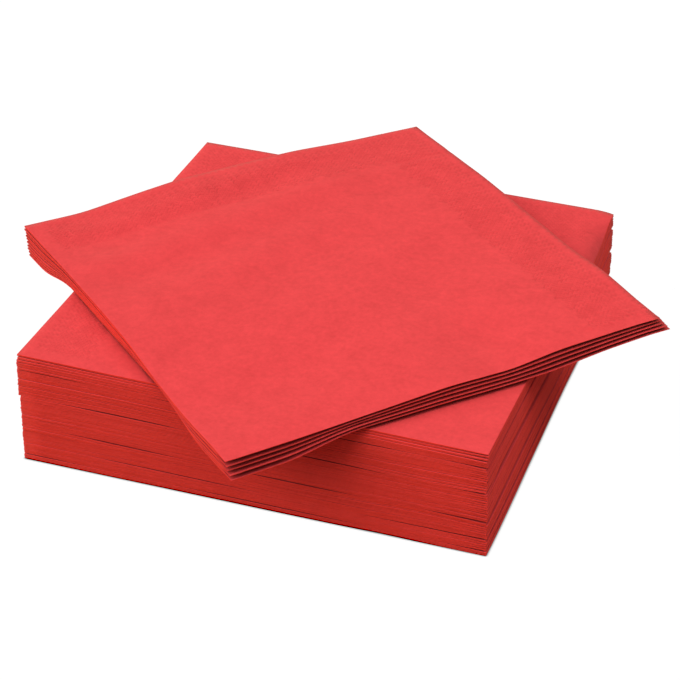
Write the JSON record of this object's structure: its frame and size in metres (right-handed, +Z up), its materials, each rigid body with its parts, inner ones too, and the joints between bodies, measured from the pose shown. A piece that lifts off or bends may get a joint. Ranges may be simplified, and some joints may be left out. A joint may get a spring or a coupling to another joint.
{
  "type": "stack of paper napkins",
  "caption": "Square stack of dyed tissue napkins, each folded in four, with a small pile of the same napkins turned and laid loosely on top.",
  "frame": {"origin": "middle of the flat underside of the square stack, on the surface it stands on", "axes": "+Z up through the stack; +X to the side with the second folds; -Y to the side with the first folds"},
  "size_m": [0.2854, 0.2834, 0.0597],
  "materials": {
    "red_tissue": "matte dyed tissue"
  },
  "bodies": {
    "root": {"stack_napkin_01": "red_tissue", "stack_napkin_02": "red_tissue", "stack_napkin_03": "red_tissue", "stack_napkin_04": "red_tissue", "stack_napkin_05": "red_tissue", "stack_napkin_06": "red_tissue", "stack_napkin_07": "red_tissue", "stack_napkin_08": "red_tissue", "stack_napkin_09": "red_tissue", "stack_napkin_10": "red_tissue", "stack_napkin_11": "red_tissue", "stack_napkin_12": "red_tissue", "stack_napkin_13": "red_tissue", "stack_napkin_14": "red_tissue", "stack_napkin_15": "red_tissue", "stack_napkin_16": "red_tissue", "stack_napkin_17": "red_tissue", "stack_napkin_18": "red_tissue", "stack_napkin_19": "red_tissue", "stack_napkin_20": "red_tissue", "stack_napkin_21": "red_tissue", "stack_napkin_22": "red_tissue", "stack_napkin_23": "red_tissue", "stack_napkin_24": "red_tissue", "stack_napkin_25": "red_tissue", "stack_napkin_26": "red_tissue", "stack_napkin_27": "red_tissue", "stack_napkin_28": "red_tissue", "stack_napkin_29": "red_tissue", "stack_napkin_30": "red_tissue", "stack_napkin_31": "red_tissue", "stack_napkin_32": "red_tissue", "stack_napkin_33": "red_tissue", "stack_napkin_34": "red_tissue", "stack_napkin_35": "red_tissue", "stack_napkin_36": "red_tissue", "stack_napkin_37": "red_tissue", "stack_napkin_38": "red_tissue", "stack_napkin_39": "red_tissue", "stack_napkin_40": "red_tissue", "stack_napkin_41": "red_tissue", "stack_napkin_42": "red_tissue", "stack_napkin_43": "red_tissue", "stack_napkin_44": "red_tissue", "stack_napkin_45": "red_tissue", "top_napkin_1": "red_tissue", "top_napkin_2": "red_tissue", "top_napkin_3": "red_tissue", "top_napkin_4": "red_tissue", "top_napkin_5": "red_tissue"}
  },
  "joints": []
}
